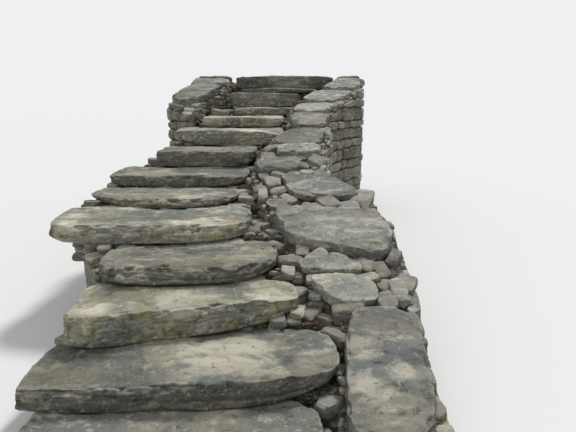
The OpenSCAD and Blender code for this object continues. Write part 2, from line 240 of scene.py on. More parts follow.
def hashed(i, j, k, seed):
    """Repeatable values from 0 to 1 for whole-number points, mixed by large odd factors."""
    h = (i * 374761393 + j * 668265263 + k * 1440670441 + seed * 974711) & 0xFFFFFFFF
    h = ((h ^ (h >> 13)) * 1274126177) & 0xFFFFFFFF
    h = ((h ^ (h >> 16)) * 668265263) & 0xFFFFFFFF
    return ((h ^ (h >> 15)) & 0xFFFFFF) / 0xFFFFFF


def noise(points, seed):
    """Smooth value noise from -1 to 1 at an array of points."""
    base = np.floor(points).astype(np.int64)
    t = points - base
    t = t * t * t * (t * (t * 6 - 15) + 10)
    total = np.zeros(len(points))
    for corner in range(8):
        dx, dy, dz = corner & 1, corner >> 1 & 1, corner >> 2 & 1
        weight = (t[:, 0] if dx else 1 - t[:, 0]) * (t[:, 1] if dy else 1 - t[:, 1])
        weight = weight * (t[:, 2] if dz else 1 - t[:, 2])
        total += weight * hashed(base[:, 0] + dx, base[:, 1] + dy, base[:, 2] + dz, seed)
    return total * 2 - 1


def fractal(points, seed, octaves=4):
    """Several octaves of noise, about -1 to 1."""
    total = np.zeros(len(points))
    size = 1.0
    for octave in range(octaves):
        total += size * noise(points * 2 ** octave + 17.3 * octave, seed + octave)
        size *= 0.5
    return total / 1.6


def cells(points, seed):
    """Distance to the nearest and second nearest scattered point, and the nearest one's value."""
    base = np.floor(points).astype(np.int64)
    first = np.full(len(points), 9.0)
    second = np.full(len(points), 9.0)
    value = np.zeros(len(points))
    for dx in (-1, 0, 1):
        for dy in (-1, 0, 1):
            for dz in (-1, 0, 1):
                cell = base + (dx, dy, dz)
                at = cell + np.stack([hashed(*cell.T, seed + s) for s in (1, 2, 3)], axis=1)
                distance = np.linalg.norm(points - at, axis=1)
                nearer = distance < first
                second = np.where(nearer, first, np.minimum(second, distance))
                value = np.where(nearer, hashed(*cell.T, seed + 4), value)
                first = np.where(nearer, distance, first)
    return first, second, value


def ramp(x, low, high):
    """0 below low, 1 above high, smooth between them."""
    t = np.clip((x - low) / (high - low), 0, 1)
    return t * t * (3 - 2 * t)


# Mesh helpers

def points_of(mesh):
    """All points of a mesh as an array."""
    co = np.empty(len(mesh.vertices) * 3)
    mesh.vertices.foreach_get("co", co)
    return co.reshape(-1, 3)


def normals_of(mesh):
    """The normals at all points of a mesh."""
    no = np.empty(len(mesh.vertices) * 3)
    mesh.vertex_normals.foreach_get("vector", no)
    return no.reshape(-1, 3)


def set_points(mesh, co):
    """Moves all points of a mesh."""
    mesh.vertices.foreach_set("co", co.astype(np.float32).ravel())
    mesh.update()


def set_value(mesh, name, values):
    """Stores one number per vertex, which the materials read by name."""
    layer = mesh.attributes.get(name) or mesh.attributes.new(name, "FLOAT", "POINT")
    layer.data.foreach_set("value", np.asarray(values, dtype=np.float32))


def new_object(name, mesh):
    """Puts a mesh into the scene."""
    piece = bpy.data.objects.new(name, mesh)
    bpy.context.scene.collection.objects.link(piece)
    return piece


def remeshed(source, name, voxel):
    """A fine, even copy of a solid."""
    piece = new_object(name, source.data.copy())
    change = piece.modifiers.new("fine", "REMESH")
    change.mode = "VOXEL"
    change.voxel_size = voxel
    graph = bpy.context.evaluated_depsgraph_get()
    fine = bpy.data.meshes.new_from_object(piece.evaluated_get(graph))
    piece.modifiers.clear()
    piece.data = fine
    piece.data.name = name
    return piece


def bottom_plane(mesh):
    """A point on the flat underside of a solid, and its normal."""
    down = [p for p in mesh.polygons if p.normal.z < -0.85]
    area = sum(p.area for p in down)
    normal = sum((p.normal * p.area for p in down), Vector()) / area
    centre = sum((p.center * p.area for p in down), Vector()) / area
    return centre, normal.normalized()


def flat_underside(mesh, centre, normal, depth=0.002):
    """Swaps the fine grid of a hidden flat underside for one plain face."""
    bm = bmesh.new()
    bm.from_mesh(mesh)

    def is_under(face):
        near = all(abs((v.co - centre).dot(normal)) < depth for v in face.verts)
        return near and face.normal.dot(normal) > 0.97

    bmesh.ops.delete(bm, geom=[f for f in bm.faces if is_under(f)], context="FACES")
    rim = [e for e in bm.edges if e.is_boundary]
    bmesh.ops.holes_fill(bm, edges=rim, sides=0)
    bmesh.ops.triangulate(bm, faces=[f for f in bm.faces if len(f.verts) > 4])
    bmesh.ops.recalc_face_normals(bm, faces=bm.faces[:])
    bm.to_mesh(mesh)
    bm.free()


# Weathering of slabs: each kind of wear gives its depth at every point, negative where stone
# is lost. Points are scaled before they go into noise, so 10 means forms about 0.1 m across.

def broken_sides(co, seed):
    """Facets that meet in grooves, thin beds, and here and there a long split between them."""
    bent = co + 0.02 * np.stack([noise(co * 9, seed + s) for s in (31, 32, 33)], axis=1)
    first, second, value = cells(bent * (9, 9, 17), seed + 5)
    broken = (value - 0.75) * FACET - GROOVE * (1 - ramp(second - first, 0, 0.16))
    layer = bent[:, 2] * 46 + 1.1 * fractal(co * 4, seed + 9, 3)
    bedding = -BED * ramp(np.abs(layer % 1 - 0.5), 0.3, 0.5)
    height = co[:, 2].max() - co[:, 2].min()
    split_z = co[:, 2].min() + height * (0.5 + 0.3 * noise(co * (1.6, 1.6, 0), seed + 41))
    split = -SPLIT * (1 - ramp(np.abs(co[:, 2] - split_z), 0.002, 0.012))
    split *= ramp(noise(co * (2.3, 2.3, 0), seed + 43), -0.1, 0.3)
    return broken + bedding + split


def chipped_arrises(co, seed):
    """Chips here and there, about 80 mm apart."""
    first, _, value = cells(co * 13, seed + 13)
    return -CHIP * ramp(value, 0.58, 0.68) * (1 - ramp(first, 0.3, 0.62))


def flaked_top(co, seed):
    """Broad plates that are lost, and flakes in steps."""
    plates = -PLATE * ramp(fractal(co * (2.4, 3.6, 2.4), seed + 15, 4), 0.02, 0.07)
    level = fractal(co * (4.2, 6.5, 4.2), seed + 17, 4) * 2.2
    step = np.floor(level)
    flakes = (step + ramp(level - step, 0.38, 0.62)) * FLAKE
    return plates + flakes - 0.001


def pitted(co, seed):
    """Scattered pits, and the grain of the stone."""
    pits = -PIT * ramp(noise(co * 42, seed + 21), 0.45, 0.8)
    grain = fractal(co * 55, seed + 25, 2) * GRAIN
    return pits + grain


def weather(piece, seed, strength):
    """Wears a slab: warped faces, broken sides, chipped arrises, a flaked and pitted top."""
    mesh = piece.data
    co = points_of(mesh)
    no = normals_of(mesh)
    upward = ramp(no[:, 2], 0.55, 0.9)
    side = 1 - ramp(np.abs(no[:, 2]), 0.5, 0.92)
    arris = ramp(no[:, 2], 0.2, 0.5) * (1 - ramp(no[:, 2], 0.85, 0.97))
    under = ramp(-no[:, 2], 0.6, 0.9)

    warp = fractal(co * 3.1, seed, 3) * WARP
    chipped = chipped_arrises(co, seed)
    depth = warp * (1 - under)
    depth += side * broken_sides(co, seed) + arris * chipped
    depth += upward * flaked_top(co, seed) + (side + upward) * pitted(co, seed)
    depth *= strength * (1 - under)
    set_points(mesh, co + no * depth[:, None])
    # Painted shade in the hollows that the wear leaves
    set_value(mesh, "hollow", np.clip(-depth / FULL_HOLLOW, 0, 1))
    set_value(mesh, "arris", arris * (1 - ramp(-chipped, 0, 0.01)))
    mesh.shade_smooth()


def painted_sunlight(node, co):
    """How much painted sunlight falls on a slab at each point, in ragged pools wider than deep."""
    share = np.zeros(len(co))
    edge = 0.45 * fractal(co * (6, 9, 6), SUNLIT_POOL_SEED, 4)
    for x, y, reach in SUNLIT_POOLS.get(node, []):
        distance = np.hypot((co[:, 0] - x) / 1.5, co[:, 1] - y) / reach
        share = np.maximum(share, 1 - ramp(distance + edge, 0.55, 1.15))
    return share


def slab_piece(node, seed, voxel, wear, material):
    """Makes the weathered copy of a slab, which replaces its node."""
    source = NODES[node]
    piece = remeshed(source, node + "_slab", voxel)
    flat_underside(piece.data, *bottom_plane(source.data))
    weather(piece, seed, wear)
    count = len(piece.data.vertices)
    # Lightness of the slab, partly painted sun and shade
    set_value(piece.data, "tone", np.full(count, TONE_WITH_PAINTED_LIGHT.get(node, random.Random(seed).random())))
    set_value(piece.data, "growth", np.full(count, GROWTH.get(node, USUAL_GROWTH)))
    # Painted pools of sunlight on the slab
    set_value(piece.data, "sunlit_pool", painted_sunlight(node, points_of(piece.data)))
    dress(piece, material)
    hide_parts(node)


def dress(piece, material):
    """Gives a piece its material and its body."""
    piece.data.materials.clear()
    piece.data.materials.append(material)
    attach(piece, "root")


# Materials

# Sockets of a Mix node that takes colours
COLOUR_A, COLOUR_B, COLOUR_OUT = 6, 7, 2


class Shader:
    """A stone material under construction, with short ways to add its nodes."""

    def __init__(self, name, roughness):
        self.material = bpy.data.materials.new(name)
        self.material.use_nodes = True
        self.nodes = self.material.node_tree.nodes
        self.links = self.material.node_tree.links
        self.surface = self.nodes["Principled BSDF"]
        self.surface.inputs["Roughness"].default_value = roughness
        self.surface.inputs["Specular IOR Level"].default_value = 0.25
        self.place = self.nodes.new("ShaderNodeTexCoord").outputs["Object"]

    def stretched(self, scale):
        """Places for a texture that is finer along some axes."""
        node = self.nodes.new("ShaderNodeMapping")
        node.inputs["Scale"].default_value = scale
        self.links.new(self.place, node.inputs["Vector"])
        return node.outputs["Vector"]

    def noise(self, scale, detail=4, rough=0.55, place=None, distortion=0.0):
        """Soft noise from 0 to 1 over the stone."""
        node = self.nodes.new("ShaderNodeTexNoise")
        node.inputs["Scale"].default_value = scale
        node.inputs["Detail"].default_value = detail
        node.inputs["Roughness"].default_value = rough
        node.inputs["Distortion"].default_value = distortion
        self.links.new(place or self.place, node.inputs["Vector"])
        return node.outputs["Fac"]

    def chips(self, scale):
        """A random value for each chip of a packed surface, and the distance to its edge."""
        outputs = []
        for feature, output in (("F1", "Color"), ("DISTANCE_TO_EDGE", "Distance")):
            node = self.nodes.new("ShaderNodeTexVoronoi")
            node.feature = feature
            node.inputs["Scale"].default_value = scale
            self.links.new(self.place, node.inputs["Vector"])
            outputs.append(node.outputs[output])
        return outputs

    def value(self, name):
        """A number that set_value stored on the mesh."""
        node = self.nodes.new("ShaderNodeAttribute")
        node.attribute_name = name
        return node.outputs["Fac"]

    def upward(self):
        """How much the surface faces up, from -1 to 1."""
        geometry = self.nodes.new("ShaderNodeNewGeometry")
        split = self.nodes.new("ShaderNodeSeparateXYZ")
        self.links.new(geometry.outputs["Normal"], split.inputs["Vector"])
        return split.outputs["Z"]

    def between(self, source, low, high, start=0.0, end=1.0):
        """Goes smoothly from start to end while the source goes from low to high."""
        node = self.nodes.new("ShaderNodeMapRange")
        node.interpolation_type = "SMOOTHSTEP"
        node.inputs["From Min"].default_value = low
        node.inputs["From Max"].default_value = high
        node.inputs["To Min"].default_value = start
        node.inputs["To Max"].default_value = end
        self.links.new(source, node.inputs["Value"])
        return node.outputs["Result"]

    def feed(self, socket, source):
        """Sets a socket to a number or colour, or links it to another node's output."""
        if isinstance(source, (int, float)):
            socket.default_value = source
        elif isinstance(source, tuple):
            socket.default_value = (*source, 1)
        else:
            self.links.new(source, socket)

    def maths(self, operation, a, b):
        """One sum with two numbers or outputs."""
        node = self.nodes.new("ShaderNodeMath")
        node.operation = operation
        self.feed(node.inputs[0], a)
        self.feed(node.inputs[1], b)
        return node.outputs["Value"]

    def times(self, a, b):
        """The product of two numbers or outputs."""
        return self.maths("MULTIPLY", a, b)

    def mixed(self, share, a, b, blend="MIX"):
        """Colour a with a share of colour b."""
        node = self.nodes.new("ShaderNodeMix")
        node.data_type = "RGBA"
        node.blend_type = blend
        self.feed(node.inputs["Factor"], share)
        self.feed(node.inputs[COLOUR_A], a)
        self.feed(node.inputs[COLOUR_B], b)
        return node.outputs[COLOUR_OUT]

    def bump(self, height, distance, strength, before=None):
        """A bump this deep, in metres, on top of another one."""
        node = self.nodes.new("ShaderNodeBump")
        node.inputs["Distance"].default_value = distance
        node.inputs["Strength"].default_value = strength
        self.links.new(height, node.inputs["Height"])
        if before:
            self.links.new(before, node.inputs["Normal"])
        return node.outputs["Normal"]

    def finish(self, colour, normal):
        """Links the colour and the bumps to the surface."""
        self.links.new(colour, self.surface.inputs["Base Color"])
        self.links.new(normal, self.surface.inputs["Normal"])
        return self.material


def stone_material(name, warm, cool, pale, dark, lichen):
    """Weathered stone: two body colours, pale crusts, painted shade on the sides, and lichen."""
    s = Shader(name, 0.88)
    side = s.between(s.upward(), 0.3, 0.8, 1, 0)
    # Body in patches longer across the flight, partly painted dapples of sun and shade, with
    # crusts,
    # stains, and pale arrises that are partly painted highlights
    long = s.stretched((0.65, 1.3, 1.6))
    body = s.mixed(s.between(s.noise(3.2, 6, 0.6, place=long), 0.4, 0.6), cool, warm)
    ragged = s.noise(7.0, 10, 0.72, place=long, distortion=0.3)
    body = s.mixed(s.between(ragged, 0.52, 0.6, 0, 0.75), body, pale)
    body = s.mixed(s.between(ragged, 0.34, 0.44, 0.75, 0), body, dark)
    # Painted highlights along the arrises, which also stand for their worn pale edges
    arris_highlight = s.times(s.value("arris"), s.between(ragged, 0.38, 0.56, 0, 0.6))
    body = s.mixed(arris_highlight, body, pale)
    # Painted pools of sunlight, in a pale stone colour
    sunlit_pool = s.times(s.value("sunlit_pool"), s.between(ragged, 0.37, 0.52, 0.35, 1))
    body = s.mixed(sunlit_pool, body, SUNLIT_POOL_COLOUR)
    # Painted shade on the sides, partly damp, streaked along their beds
    streak = s.between(s.noise(6.0, 6, 0.65, place=s.stretched((1, 1, 8))), 0.42, 0.6)
    side_shade = s.maths("ADD", s.times(streak, 0.3), 0.42)
    body = s.mixed(s.times(side_shade, side), body, dark)
    # Lichen, most of it on the sides
    spread = s.maths("SUBTRACT", 0.64, s.times(s.value("growth"), 0.13))
    patch = s.maths("SUBTRACT", s.noise(9.0, 9, 0.74), spread)
    grown = s.times(s.between(patch, 0.0, 0.06, 0, 0.8), s.between(side, 0, 1, 0.45, 1))
    body = s.mixed(grown, body, lichen)
    # Small crusts and stains, painted shade in hollows, and the speckle of the stone
    crust = s.noise(23.0, 10, 0.7, distortion=0.1)
    body = s.mixed(s.between(crust, 0.57, 0.6, 0, 0.55), body, pale)
    body = s.mixed(s.between(crust, 0.36, 0.41, 0.55, 0), body, dark)
    body = s.mixed(s.times(s.value("hollow"), 0.6), body, dark)
    speckle = s.noise(62.0, 8, 0.8)
    body = s.mixed(s.between(speckle, 0.3, 0.46, 0.65, 0), body, dark)
    body = s.mixed(s.between(speckle, 0.54, 0.68, 0, 0.45), body, pale)
    # How light this stone is, on listed slabs partly painted sun and shade
    tone = s.between(s.value("tone"), 0, 1, 0.72, 1.18)
    body = s.mixed(1.0, body, tone, "MULTIPLY")
    rough = s.bump(s.noise(40.0, 8, 0.75), 0.008, 0.8)
    fine = s.bump(speckle, 0.004, 0.7, before=rough)
    return s.finish(body, fine)


def core_material():
    """Packed chips and fine fill between the stones."""
    s = Shader("packed_core", 0.95)
    small, small_edge = s.chips(34.0)
    large, large_edge = s.chips(17.0)
    body = s.mixed(s.between(small, 0.1, 0.9), FILL, SMALL_CHIP)
    body = s.mixed(s.between(large, 0.62, 0.66, 0, 0.8), body, LARGE_CHIP)
    body = s.mixed(s.between(small_edge, 0.0, 0.09, 0.85, 0), body, JOINT)
    body = s.mixed(s.between(large_edge, 0.0, 0.06, 0.6, 0), body, JOINT)
    body = s.mixed(s.between(s.noise(70.0, 5, 0.7), 0.35, 0.5, 0.6, 0), body, GRIT)
    rough = s.bump(s.between(small_edge, 0.0, 0.3), 0.012, 0.9)
    return s.finish(body, s.bump(s.noise(90.0, 5), 0.004, 0.7, before=rough))


# Stone blocks for the walling and the small stones

GRIDS = {}


def grid(counts):
    """The surface of a cube of side 2 as points and quads, split into a grid of these counts."""
    if counts not in GRIDS:
        index, quads = {}, []
        for axis in range(3):
            u, v = [a for a in range(3) if a != axis]
            ranges = (0, counts[axis]), range(counts[u]), range(counts[v])
            for end, i, j in itertools.product(*ranges):
                corners = [(i, j), (i + 1, j), (i + 1, j + 1), (i, j + 1)]
                if (end == 0) != (axis == 1):
                    corners.reverse()
                quad = []
                for a, b in corners:
                    key = [0, 0, 0]
                    key[axis], key[u], key[v] = end, a, b
                    quad.append(index.setdefault(tuple(key), len(index)))
                quads.append(quad)
        GRIDS[counts] = 2 * np.array(list(index)) / counts - 1, np.array(quads)
    return GRIDS[counts]


def broken_block(counts, rng, squareness, cuts):
    """A rounded block of half size 1, with what stands out of random planes pushed in."""
    cube, quads = grid(counts)
    length = (np.abs(cube) ** squareness).sum(1) ** (1 / squareness)
    co = cube / length[:, None]
    for _ in range(cuts):
        normal = np.array([rng.uniform(-1, 1) for _ in range(3)])
        normal /= np.linalg.norm(normal) + 1e-6
        reach = np.abs(normal).sum() * rng.uniform(0.66, 0.84)
        over = np.maximum(co @ normal - reach, 0)
        co = co - over[:, None] * normal * 0.9
    return co, quads


class Heap:
    """Collects many blocks, to make one joined mesh of them."""

    def __init__(self):
        self.points, self.quads, self.tones, self.count = [], [], [], 0

    def add(self, co, quads, tone):
        """Adds one block of a tone from 0, dark, to 1, light."""
        self.points.append(co)
        self.quads.append(quads + self.count)
        self.tones.append(np.full(len(co), tone))
        self.count += len(co)

    def build(self, name, seed, rough):
        """Joins the blocks, roughened by this much, and keeps them above the floor."""
        co = np.concatenate(self.points)
        mesh = bpy.data.meshes.new(name)
        mesh.from_pydata(co.tolist(), [], np.concatenate(self.quads).tolist())
        no = normals_of(mesh)
        depth = fractal(co * 24, seed, 3) * rough
        co = co + no * depth[:, None]
        co[:, 2] = np.maximum(co[:, 2], 0.0)
        set_points(mesh, co)
        # Painted shade in the dips of the roughening
        set_value(mesh, "hollow", np.clip(-depth / (2.5 * rough), 0, 1))
        set_value(mesh, "tone", np.concatenate(self.tones))
        mesh.shade_smooth()
        return new_object(name, mesh)


# Walling: every stone in the face of a rubble solid is covered by a broken stone

class WallStone:
    """The front of one wall stone of a solid, in axes along the wall and up."""

    def __init__(self, face, out):
        self.face, self.out = face, out
        self.normal = np.array(face.normal)
        self.along = np.array([-self.normal[1], self.normal[0], 0])
        self.centre = np.array(face.calc_center_median())
        flat = sorted(((np.array(v.co) - self.centre) @ self.along, v.co.z) for v in face.verts)
        left, right = sorted(flat[:2], key=lambda p: p[1]), sorted(flat[2:], key=lambda p: p[1])
        self.corners = np.array([left[0], right[0], right[1], left[1]])

    def end(self, right):
        """Middle of the left or right end of the front."""
        pair = self.corners[[1, 2]] if right else self.corners[[0, 3]]
        u, z = pair.mean(0)
        return np.array([*(self.centre + u * self.along)[:2], z])

    def move_end(self, right, distance):
        """Moves the left or right end along the wall, unless the stone gets too short."""
        pair = [1, 2] if right else [0, 3]
        moved = self.corners.copy()
        moved[pair, 0] += distance
        if min(moved[1, 0], moved[2, 0]) - max(moved[0, 0], moved[3, 0]) > SHORTEST:
            self.corners = moved


def wall_stones(bm):
    """Faces of a rubble solid that are the fronts of its wall stones."""
    found = []
    for face in bm.faces:
        if len(face.verts) != 4 or abs(face.normal.z) > UPRIGHT:
            continue
        joined = [edge.other_vert(v) for v in face.verts for edge in v.link_edges]
        behind = [v for v in joined if v not in face.verts]
        out = [(face.verts[0].co - v.co).dot(face.normal) for v in behind]
        if behind and STANDS_OUT[0] < min(out) and max(out) < STANDS_OUT[1]:
            found.append(WallStone(face, sum(out) / len(out)))
    return found


def bond_ends(stones, rng):
    """Shifts the joints where two lengths of wall meet, and closes the corners there."""
    left_ends = np.array([stone.end(False) for stone in stones])
    for stone in stones:
        here = stone.end(True)
        gaps = np.linalg.norm((left_ends - here) * (1, 1, 0.6), axis=1)
        other = stones[int(gaps.argmin())]
        if gaps.min() > MEETING or other is stone:
            continue
        (ax, ay, _), (bx, by, _) = stone.normal, other.normal
        turn = math.asin(max(-1, min(1, ax * by - ay * bx)))
        reach = math.tan(turn / 2)
        shift = rng.uniform(-JOINT_SHIFT, JOINT_SHIFT) if abs(turn) < TURNS else 0.0
        stone.move_end(True, stone.out * reach + shift)
        other.move_end(False, -other.out * reach + shift)


def cover_stone(heap, stone, rng):
    """Lays one broken stone over the front of a wall stone."""
    grow = np.array([[rng.uniform(*COVER_GROWS)] for _ in range(4)])
    corners = stone.corners + grow * [(-1, -1), (1, -1), (1, 1), (-1, 1)]
    width, height = np.ptp(corners, axis=0)
    counts = (max(4, round(width / COVER_GRID)), 3, max(4, round(height / COVER_GRID)))
    block, quads = broken_block(counts, rng, 7, 9)
    s, t = (block[:, 0] + 1) / 2, (block[:, 2] + 1) / 2
    weights = np.stack([(1 - s) * (1 - t), s * (1 - t), s * t, (1 - s) * t], axis=1)
    flat = weights @ corners
    front = stone.out + rng.uniform(*COVER_PROUD)
    depth = -0.5 * (1 + block[:, 1]) * (front + COVER_BACK) + front - stone.out
    co = stone.centre + flat[:, :1] * stone.along + depth[:, None] * stone.normal
    co[:, 2] = flat[:, 1]
    heave = np.stack([noise(co * 9 + 5.7 * k, HEAVE_SEED + k) for k in range(3)], axis=1)
    heap.add(co + heave * HEAVE, quads, rng.random())


def wall_core(node, bm, stones, material):
    """A copy of a rubble solid whose wall stones are pushed back, to leave dark joints."""
    for stone in stones:
        for v in stone.face.verts:
            v.co -= stone.face.normal * (stone.out + JOINT_DEPTH)
    mesh = bpy.data.meshes.new(node + "_core")
    bm.to_mesh(mesh)
    core = new_object(node + "_core", mesh)
    dress(core, material)
    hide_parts(node)


# Small stones: loose ones, chocks and packing

def merged(node):
    """A solid as a bmesh whose flat faces, to within 0.4 degrees, are whole."""
    bm = bmesh.new()
    bm.from_mesh(NODES[node].data)
    bmesh.ops.remove_doubles(bm, verts=bm.verts, dist=1e-5)
    bmesh.ops.dissolve_limit(bm, angle_limit=math.radians(0.4), verts=bm.verts, edges=bm.edges)
    return bm


def solids_tree(names):
    """One search tree over several solids, and the node that each face belongs to."""
    verts, faces, owner = [], [], []
    for name in names:
        mesh = NODES[name].data
        base = len(verts)
        verts += [v.co.copy() for v in mesh.vertices]
        for p in mesh.polygons:
            faces.append([base + i for i in p.vertices])
            owner.append(name)
    return BVHTree.FromPolygons(verts, faces), owner


def around(tree, x, y, reach, count):
    """What rays from the sky hit at points around a place: the heights and the faces."""
    hits = []
    for k in range(count):
        turn = k * math.tau / count
        start = Vector((x + reach * math.cos(turn), y + reach * math.sin(turn), SKY))
        hit, _, face, _ = tree.ray_cast(start, DOWN)
        hits.append((0.0 if hit is None else hit.z, face))
    return hits


def nests(tree, owner, x, y, z, radius):
    """Whether a stone of this radius lies well there: not over a drop, and not under a slab."""
    hits = around(tree, x, y, 0.7 * radius, 6)
    drops = any(height < z - 0.6 * radius for height, _ in hits)
    slabs = sum(face is not None and owner[face] not in CORES for _, face in hits)
    return not drops and slabs <= 3


def loose_stone(heap, rng, size, radius, at, normal):
    """Adds one broken stone that lies on a surface with this normal, finer when it is larger."""
    count = 6 if size > 0.05 else 4 if size > 0.03 else 3
    block, quads = broken_block((count, count, count), rng, 6, 14)
    block = block * radius * (1, rng.uniform(0.55, 0.85), rng.uniform(0.3, 0.55))
    spin = rng.uniform(0, math.tau)
    bx, by, bz = block.T
    dx = math.cos(spin) * bx - math.sin(spin) * by
    dy = math.sin(spin) * bx + math.cos(spin) * by
    slope = -(normal.x * dx + normal.y * dy) / normal.z
    lean = rng.uniform(-0.15, 0.15) * dx + rng.uniform(-0.15, 0.15) * dy
    dz = 0.3 * block[:, 2].max() + bz + slope + lean
    heap.add(np.array(at) + np.stack([dx, dy, dz], axis=1), quads, rng.random())


def bare_top(tree, owner, x, y):
    """The bare top of a core at a place, or the floor in the foot gap, and the way it faces."""
    hit, normal, face, _ = tree.ray_cast(Vector((x, y, SKY)), DOWN)
    if hit is None and all(a < v < b for v, (a, b) in zip((x, y), FOOT_GAP)):
        return Vector((x, y, 0)), -DOWN
    if hit is None or normal.z < LEVEL or owner[face] not in CORES:
        return None, None
    return hit, normal


def is_taken(taken, x, y, radius):
    """Whether a stone of this radius would lie too far into one that is there already."""
    near = [(a, b, r) for a, b, r in taken if abs(x - a) < FAR and abs(y - b) < FAR]
    return any(math.hypot(x - a, y - b) < CLOSEST * (radius + r) for a, b, r in near)


def fill_pit(heap, rng, tree, x, y, floor, radius):
    """Stacks more stones on one that lies in a pit, up to its rim."""
    rims = sorted(height for height, _ in around(tree, x, y, PIT_REACH, 8))
    layer = floor + PIT_LAYER
    while layer < rims[2] - PIT_LAYER:
        at = Vector((x + rng.uniform(-0.01, 0.01), y + rng.uniform(-0.01, 0.01), layer))
        loose_stone(heap, rng, PIT_SIZE, max(radius, PIT_RADIUS), at, -DOWN)
        layer += PIT_LAYER


def scatter_stones(heap, rng):
    """Drops loose broken stones on every bare top of the cores, the large ones first."""
    tree, owner = solids_tree(sorted(NODES))
    low, high = (Vector(c) for c in cad_box)
    taken = []
    for size in LOOSE_SIZES:
        for _ in range(LOOSE_TRIES):
            x, y = rng.uniform(low.x, high.x), rng.uniform(low.y, high.y)
            hit, normal = bare_top(tree, owner, x, y)
            if hit is None:
                continue
            radius = size * rng.uniform(0.75, 1.25)
            if is_taken(taken, x, y, radius) or not nests(tree, owner, x, y, hit.z, radius):
                continue
            taken.append((x, y, radius))
            loose_stone(heap, rng, size, radius, hit, normal)
            fill_pit(heap, rng, tree, x, y, hit.z, radius)


def extent(node):
    """Lowest and highest corner of a solid's box."""
    co = points_of(NODES[node].data)
    return co.min(0), co.max(0)


def chock_room(tree, owner, start):
    """The floor and the height of a gap between the core and a slab, if it shows from the left."""
    floor, normal, face, below = tree.ray_cast(start, DOWN)
    slab, slab_normal, slab_face, above = tree.ray_cast(start, -DOWN)
    if floor is None or slab is None or owner[face] not in CORES or owner[slab_face] in CORES:
        return None
    if normal.z < LEVEL or slab_normal.z > -0.5:
        return None
    if not CHOCK_GAP[0] < below + above < CHOCK_GAP[1]:
        return None
    if all(tree.ray_cast(start, way)[0] for way in LEFTWARD):
        return None
    return floor, below + above


def stack_chocks(heap, rng, floor, gap):
    """Fills a gap under a slab with one flat stone, or with several on each other."""
    layers = max(1, round(gap / CHOCK_H))
    height = gap / layers
    for layer in range(layers):
        block, quads = broken_block((5, 5, 3), rng, 6, 12)
        x = block[:, 0] * rng.uniform(*CHOCK_W)
        y = block[:, 1] * rng.uniform(*CHOCK_D)
        turn = rng.uniform(-0.5, 0.5)
        astray = [rng.uniform(-CHOCK_ASTRAY, CHOCK_ASTRAY) for _ in range(2)]
        dx = astray[0] + math.cos(turn) * x - math.sin(turn) * y
        dy = astray[1] + math.sin(turn) * x + math.cos(turn) * y
        dz = (layer + 0.5) * height + block[:, 2] * (height / 2 + 0.002)
        heap.add(np.array(floor) + np.stack([dx, dy, dz], axis=1), quads, rng.random())


def wedge_chocks(heap, rng):
    """Wedges stones under slab ends that stick out over the core."""
    tree, owner = solids_tree(sorted(NODES))
    taken = []
    for node in SLABS + SIDE_STONES:
        low, high = extent(node)
        for _ in range(CHOCK_TRIES):
            x, y = rng.uniform(low[0], high[0]), rng.uniform(low[1], high[1])
            start = Vector((x, y, low[2] - 0.01))
            if any((start - other).length < CHOCK_APART for other in taken):
                continue
            room = chock_room(tree, owner, start)
            if room:
                taken.append(start)
                stack_chocks(heap, rng, *room)


class SteepFace:
    """A steep face of a core, in axes along it and up it."""

    def __init__(self, face):
        self.normal = face.normal.copy()
        self.along = Vector((-self.normal.y, self.normal.x, 0)).normalized()
        self.up = self.normal.cross(self.along)
        self.middle = face.calc_center_median()
        arms = [v.co - self.middle for v in face.verts]
        self.left = min(arm.dot(self.along) for arm in arms)
        self.right = max(arm.dot(self.along) for arm in arms)
        self.low = min(arm.dot(self.up) for arm in arms)
        self.high = max(arm.dot(self.up) for arm in arms)

    def at(self, u, t):
        """The point of the face at a distance along it and a distance up it."""
        return self.middle + self.along * u + self.up * t


def steep_faces(node):
    """The steep faces of a core that no wall stone covers."""
    bm = merged(node)
    fronts = {stone.face for stone in wall_stones(bm)}
    found = [SteepFace(face) for face in bm.faces if face not in fronts
             and abs(face.normal.z) <= STEEP and face.calc_area() >= STEEP_AREA]
    bm.free()
    return found


def is_bare(tree, owner, node, point, normal):
    """Whether a point on a steep face of a core has open space in front of it."""
    eye = point + normal * CLEAR
    hit, _, face, distance = tree.ray_cast(eye, -normal)
    if hit is None or abs(distance - CLEAR) > CLEAR_ERROR or owner[face] != node:
        return False
    over, over_normal, _, _ = tree.ray_cast(eye, -DOWN)
    return over is None or over_normal.z < 0


def has_room(tree, owner, node, face, centre, width, height):
    """Whether a packing stone's middle and most of its corners are bare."""
    corners = [centre + face.along * a * width * 0.4 + face.up * b * height * 0.4
               for a in (-1, 1) for b in (-1, 1)]
    bare = sum(is_bare(tree, owner, node, corner, face.normal) for corner in corners)
    return bare >= 3 and is_bare(tree, owner, node, centre, face.normal)


def packing_stone(heap, rng, face, centre, width, height):
    """Sets one small flat stone into a steep face."""
    block, quads = broken_block((5, 2, 3), rng, 6, 12)
    out = rng.uniform(*PACKING_PROUD)
    depth = -0.5 * (1 + block[:, 1]) * (out + PACKING_BACK) + out
    lean = rng.uniform(-0.12, 0.12)
    co = np.array(centre) + block[:, :1] * width / 2 * np.array(face.along + face.up * lean)
    co = co + block[:, 2:] * height / 2 * np.array(face.up)
    co = co + depth[:, None] * np.array(face.normal)
    heap.add(co, quads, rng.random())


def pack_steep_faces(heap, rng):
    """Sets small flat stones in courses into the steep core faces that no wall stone covers."""
    tree, owner = solids_tree(sorted(NODES))
    for node in CORES:
        for face in steep_faces(node):
            t = face.low
            while t < face.high:
                height = rng.uniform(*PACKING_H)
                u = face.left - rng.uniform(0, 0.08)
                while u < face.right:
                    width = rng.uniform(*PACKING_W)
                    centre = face.at(u + width / 2, t + height / 2)
                    if has_room(tree, owner, node, face, centre, width, height):
                        packing_stone(heap, rng, face, centre, width, height)
                    u += width + PACKING_JOINT
                t += height + PACKING_JOINT


# The build

